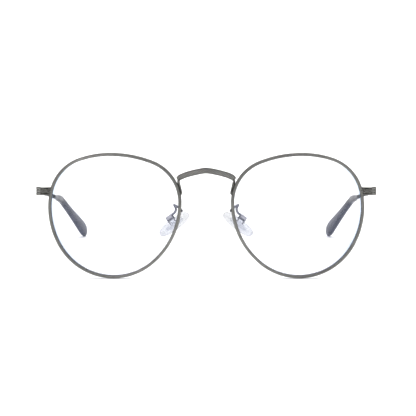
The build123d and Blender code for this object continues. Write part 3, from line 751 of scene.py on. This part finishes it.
def build_end_pieces():
    middle_y = -FACE_AHEAD + ARM_THICKNESS / 2
    middle_x = ARM_OUTER - ARM_THICKNESS / 2
    bend = END_PIECE_CORNER - ARM_THICKNESS / 2
    turn_at = middle_x - bend
    straight = np.linspace(0, 1, 56)[:-1]
    swing = np.radians(np.linspace(-90, 0, 60))
    back_run = np.arange(middle_y + bend, -BUTT_AHEAD, END_PIECE_STEP)
    curve_x = turn_at + bend * np.cos(swing)
    curve_y = middle_y + bend + bend * np.sin(swing)
    x = np.concatenate([np.full(len(straight), turn_at), curve_x, np.full(len(back_run) - 1, middle_x)])
    y = np.concatenate([np.full(len(straight), middle_y), curve_y, back_run[1:]])
    outward = np.zeros((len(x), 2))
    outward[: len(straight)] = (0, -1)
    outward[len(straight) : len(straight) + len(swing)] = np.stack([np.cos(swing), np.sin(swing)], axis=1)
    outward[len(straight) + len(swing) :] = (1, 0)
    rim_edge = rim_edge_in_hinge_frame()
    reach = turn_at - rim_edge[:, 0].mean()
    along = np.concatenate([(straight - 1) * reach, (swing + math.pi / 2) * END_PIECE_CORNER])
    along = np.concatenate([along, along[-1] + back_run[1:] - back_run[0]])
    waist = ridge(along + 0.3, 1.3)
    knob = ridge(along - SHELL_MIDDLE, 1.3)
    half_height = END_PIECE_HALF_HEIGHT - (END_PIECE_HALF_HEIGHT - END_PIECE_WAIST) * waist
    half_height = half_height + KNOB_SWELL * knob
    half = ARM_THICKNESS / 2
    offsets = np.array([strap_section(h, half, END_PIECE_EDGE, CARVED_STEPS) for h in half_height])
    up, run, tall = offsets[:, :, 0], along[:, None], half_height[:, None]
    height = np.zeros(up.shape)
    inner = tall - PANEL_BORDER
    for start, stop in ((-9.0, SHELL_START), (SHELL_STOP, along[-1] + 0.1)):
        inside = panel(run, up, start, stop, inner)
        ground = smooth_step(-0.02, -0.16, inside)
        height = np.maximum(height, ground * (1 - scrollwork(run, up, tall)))
    shell = smooth_step(SHELL_START + 0.1, SHELL_START + 0.3, run)
    shell = shell * smooth_step(SHELL_STOP - 0.1, SHELL_STOP - 0.3, run)
    rib = np.abs(np.sin(math.pi * (up / (2 * tall) + 0.5) * 3))
    outer = np.zeros(up.shape[1])
    outer[:CARVED_STEPS] = 1.0
    sunk = (height * (1 - shell) + shell * (1 - rib) ** 1.4 * 1.2) * outer[None, :]
    proud = shell * rib * outer[None, :]
    offsets[:, :, 1] += proud * SHELL_RISE - sunk * CARVING_DEPTH
    grid = np.zeros(up.shape + (3,))
    grid[:, :, 0] = x[:, None] + outward[:, :1] * offsets[:, :, 1]
    grid[:, :, 1] = y[:, None] + outward[:, 1:] * offsets[:, :, 1]
    grid[:, :, 2] = up
    rim_x = np.interp(up[: len(straight)], rim_edge[:, 1], rim_edge[:, 0])
    grid[: len(straight), :, 0] = rim_x + (turn_at - rim_x) * straight[:, None]
    metal_tone = np.where(outer[None, :] > 0, 1.0, BACK_PATINA) * (1 - 0.95 * np.clip(sunk, 0, 1))
    grid = moved(grid, HINGE_TURN, HINGE_AT)
    how = {"relief": metal_tone, "crease": 60.0}
    add_pair("end_piece", grid, "front", "end_piece_{side}", ENGRAVED, "frame_metal", **how)


# ---- Temples -------------------------------------------------------------------------------------------
def temple_point(distance):
    """The point on the temple's centre line at this distance from the hinge, in the temple's frame."""
    bend, roll = math.radians(EAR_BEND_ANGLE), math.radians(EAR_BEND_ROLL)
    past = distance - EAR_BEND_START
    turned = min(max(past / EAR_BEND_RADIUS, 0.0), bend)
    tail = max(past - EAR_BEND_RADIUS * bend, 0.0)
    y = min(distance, EAR_BEND_START) + EAR_BEND_RADIUS * math.sin(turned) + tail * math.cos(turned)
    drop = EAR_BEND_RADIUS * (1 - math.cos(turned)) + tail * math.sin(turned)
    return (ARM_OUTER - ARM_THICKNESS / 2 - drop * math.sin(roll), y, -drop * math.cos(roll))


def temple_grid(distances, offsets):
    """Rings round the temple's line. offsets are (up, out) at each distance."""
    line = np.array([temple_point(d) for d in distances])
    ahead = np.array([temple_point(d + 0.05) for d in distances])
    way = (ahead - line) / np.linalg.norm(ahead - line, axis=1)[:, None]
    up = np.cross((1.0, 0.0, 0.0), way)
    up /= np.linalg.norm(up, axis=1)[:, None]
    out = np.cross(way, up)
    grid = line[:, None, :] + offsets[:, :, :1] * up[:, None, :] + offsets[:, :, 1:] * out[:, None, :]
    return moved(grid, TEMPLE_TURN, HINGE_AT)


def build_temple_arms():
    carved_part = np.arange(0.05 - BUTT_AHEAD, BLADE_LENGTH, 0.1)
    plain_part = np.linspace(BLADE_LENGTH, SLEEVE_START - 0.02, 24)
    sheath = np.concatenate([[SLEEVE_START], np.linspace(SLEEVE_START + 1, CORE_WIRE_END, 40)])
    distances = np.concatenate([carved_part, plain_part, sheath])
    taper = smooth_step(BLADE_FLAT, BLADE_LENGTH, distances)
    half_height = BLADE_HALF_HEIGHT + (WIRE_HALF_HEIGHT - BLADE_HALF_HEIGHT) * taper
    offsets = np.array([strap_section(h, ARM_THICKNESS / 2, ARM_EDGE) for h in half_height])
    up = offsets[:, :, 0]
    outer = np.zeros(offsets.shape[1])
    outer[:FACE_STEPS] = 1.0
    fade = 1 - smooth_step(BLADE_LENGTH * 0.72, BLADE_LENGTH * 0.9, distances)
    border = smooth_step(-0.36, -0.26, np.abs(up) - half_height[:, None])
    stroke = (distances[:, None] - np.abs(up) * HERRINGBONE_SLANT) / HERRINGBONE_PITCH
    rope = np.abs(np.sin(math.pi * stroke)) ** 0.7
    carved = np.maximum(border, rope * (half_height[:, None] > 0.9) + (half_height[:, None] <= 0.9))
    sunk = (1 - carved) * outer[None, :] * fade[:, None]
    offsets[:, :, 1] -= sunk * HERRINGBONE_DEPTH
    round_ring = strap_section(CORE_WIRE_RADIUS, CORE_WIRE_RADIUS, CORE_WIRE_RADIUS - 0.001)
    offsets[distances >= SLEEVE_START] = round_ring
    grid = temple_grid(distances, offsets)
    how = {"relief": (1 - sunk) * BACK_PATINA, "crease": 60.0}
    add_pair("temple_arm", grid, "temple_{side}", "temple_arm_{side}", ENGRAVED, "frame_metal", **how)


def build_temple_tips():
    """The acetate tip as one skin: its bore, its lip and its outside down to the rounded end."""
    rows = through(TIP_STATIONS, 120)
    last = rows[-1]
    past = np.linspace(0.05, 0.995, 22)  # rings of the rounded end
    swell = np.sqrt(1 - past**2)
    end = [(last[0] + (TIP_END - last[0]) * t, last[1] * s, last[2] * s) for t, s in zip(past, swell)]
    lip = [(SLEEVE_START, 0.62, 0.62), (SLEEVE_START, 0.74, 0.72), (SLEEVE_START + 0.06, 0.81, 0.79)]
    bore_radius = CORE_WIRE_RADIUS + CORE_CLEARANCE
    bore = [(d, bore_radius, bore_radius) for d in np.linspace(CORE_WIRE_END, SLEEVE_START + 0.6, 40)]
    rows = np.vstack([bore, lip, rows[1:], end])
    ring = oval(48, 2.25)
    offsets = ring[None, :, :] * rows[:, None, 1:]
    grid = temple_grid(rows[:, 0], offsets)
    names = ("temple_tip", grid, "temple_{side}", "temple_tip_{side}")
    add_pair(*names, ACETATE, "temple_tip_acetate", crease=70.0)


# ---- Nose pads -----------------------------------------------------------------------------------------
def build_nose_pads():
    """A soft oval pad: rings from the middle of its back, round its edge, to the middle of its face."""
    ring = oval(96, 2.15)
    rows = []
    for share in np.linspace(0.03, 1, 12):
        rows.append((PAD_ROUND, share, PAD_HALF_THICKNESS))
    for angle in np.radians(np.linspace(80, -80, 15)):
        inset = PAD_ROUND * (1 - math.cos(angle))
        level = (PAD_HALF_THICKNESS - PAD_ROUND) * np.sign(math.sin(angle)) * min(1, abs(math.sin(angle)) * 3)
        rows.append((inset, 1.0, level + PAD_ROUND * math.sin(angle)))
    for share in np.linspace(1, 0.03, 12):
        rows.append((PAD_ROUND, share, -PAD_HALF_THICKNESS - 0.12 * (1 - share**2)))
    grid = []
    for inset, share, level in rows:
        x = ring[:, 0] * (PAD_HALF_LENGTH - inset) * share
        y = ring[:, 1] * (PAD_HALF_WIDTH - inset) * share
        grid.append(np.stack([x, y, np.full(len(ring), level - PAD_DROP)], axis=1))
    pad_middle = (PAD_LOW + PAD_HIGH) / 2
    down = pad_middle - PAD_AT
    along = PAD_AXIS / np.linalg.norm(PAD_AXIS)
    away = -(down - along * np.dot(down, along))
    away /= np.linalg.norm(away)
    across = np.cross(away, along)
    grid = moved(np.array(grid), np.stack([along, across, away], axis=1), PAD_AT)
    add_pair("nose_pad", grid, "nose_pad_{side}", "nose_pad_{side}", SILICONE, "pad_silicone")


# ---- CAD pieces that stay ------------------------------------------------------------------------------
CAD_FINISH = {
    "rim_lock_upper": DARK_METAL,
    "rim_lock_lower": DARK_METAL,
    "rim_lock_screw": SCREW_METAL,
    "hinge_front": DARK_METAL,
    "hinge_temple": DARK_METAL,
    "hinge_screw": SCREW_METAL,
    "pad_arm": SMOOTH_METAL,
    "pad_box": SMOOTH_METAL,
    "pad_screw": SCREW_METAL,
    "pad_core": CORE_PLASTIC,
}


def finish_cad_pieces():
    for name, material in CAD_FINISH.items():
        for side in SIDES:
            node = frame["nodes"][f"{name}_{side}"]
            node.data.materials.clear()
            node.data.materials.append(material)


# ---- Studio --------------------------------------------------------------------------------------------
PAPER_GLOW = 0.2  # the paper is lit from behind too, which keeps shadows on it faint


def build_floor():
    """A plain pale sheet that curves up behind."""
    n = Nodes("studio_paper")
    grain = n.noise(4.0)
    colour = n.mix(grain, rgb(0.90, 0.90, 0.90), rgb(0.93, 0.93, 0.93))
    paper = n.finish(n.principled(Base_Color=colour, Roughness=0.9, Specular_IOR_Level=0.1,
                             Emission_Color=rgb(1.0, 1.0, 1.0), Emission_Strength=PAPER_GLOW))
    bend = [(y, 0.0) for y in (-1.6, -0.6, 0.3, 0.8)]
    bend += [(0.8 + 0.6 * math.sin(a), 0.6 - 0.6 * math.cos(a)) for a in np.radians(np.arange(7.5, 91, 7.5))]
    bend += [(1.4, 1.2), (1.4, 2.0)]
    points = [(x, y, z - 0.0001) for y, z in bend for x in (-2.2, 2.2)]
    faces = [(2 * i, 2 * i + 1, 2 * i + 3, 2 * i + 2) for i in range(len(bend) - 1)]
    mesh = bpy.data.meshes.new("floor")
    mesh.from_pydata(points, [], faces)
    for face in mesh.polygons:
        face.use_smooth = True
    mesh.materials.append(paper)
    floor = bpy.data.objects.new("floor", mesh)
    bpy.context.scene.collection.objects.link(floor)


def add_softbox(name, at, aim, size, power):
    light = bpy.data.lights.new(name, "AREA")
    light.shape = "RECTANGLE"
    light.size, light.size_y = size
    light.energy = power
    lamp = bpy.data.objects.new(name, light)
    lamp.location = at
    lamp.rotation_euler = (Vector(aim) - Vector(at)).to_track_quat("-Z", "Y").to_euler()
    bpy.context.scene.collection.objects.link(lamp)


def build_lights():
    world = bpy.data.worlds.new("studio")
    world.use_nodes = True
    world.node_tree.nodes["Background"].inputs["Color"].default_value = (0.92, 0.95, 1.0, 1.0)
    world.node_tree.nodes["Background"].inputs["Strength"].default_value = 0.22
    bpy.context.scene.world = world
    middle = (0.0, -0.03, 0.02)
    # name, place, aim, size in metres, power in watts
    add_softbox("top", (0.0, -0.1, 0.9), middle, (1.2, 0.9), 6.3)
    add_softbox("front_left", (-0.7, -0.7, 0.55), middle, (0.5, 0.5), 2.2)
    add_softbox("front_right", (0.75, -0.6, 0.45), middle, (0.4, 0.6), 1.6)
    add_softbox("back", (0.0, 0.8, 0.7), (0, 0.3, 0), (1.6, 0.5), 11.0)


CAMERA_DISTANCE = 0.8
CAMERA_ELEVATION = 6.0
VIEW_WIDTH = 0.1664  # what the frame takes in across, at the lenses


def build_camera():
    lens_y = LENS_CENTRE[1] / 1000
    target = Vector((0.0007, lens_y, LENS_CENTRE[2] / 1000 + 0.0031))
    lean = math.radians(CAMERA_ELEVATION)
    data = bpy.data.cameras.new("camera")
    data.sensor_width = 36.0
    data.lens = 36.0 * CAMERA_DISTANCE / VIEW_WIDTH
    data.clip_start = 0.01
    camera = bpy.data.objects.new("camera", data)
    camera.location = target + Vector((0, -math.cos(lean), math.sin(lean))) * CAMERA_DISTANCE
    camera.rotation_euler = (target - camera.location).to_track_quat("-Z", "Y").to_euler()
    bpy.context.scene.collection.objects.link(camera)
    bpy.context.scene.camera = camera
    bpy.context.scene.view_settings.view_transform = "Standard"


build_rims()
build_lenses()
build_bridge()
build_end_pieces()
build_temple_arms()
build_temple_tips()
build_nose_pads()
finish_cad_pieces()
build_floor()
build_lights()
build_camera()
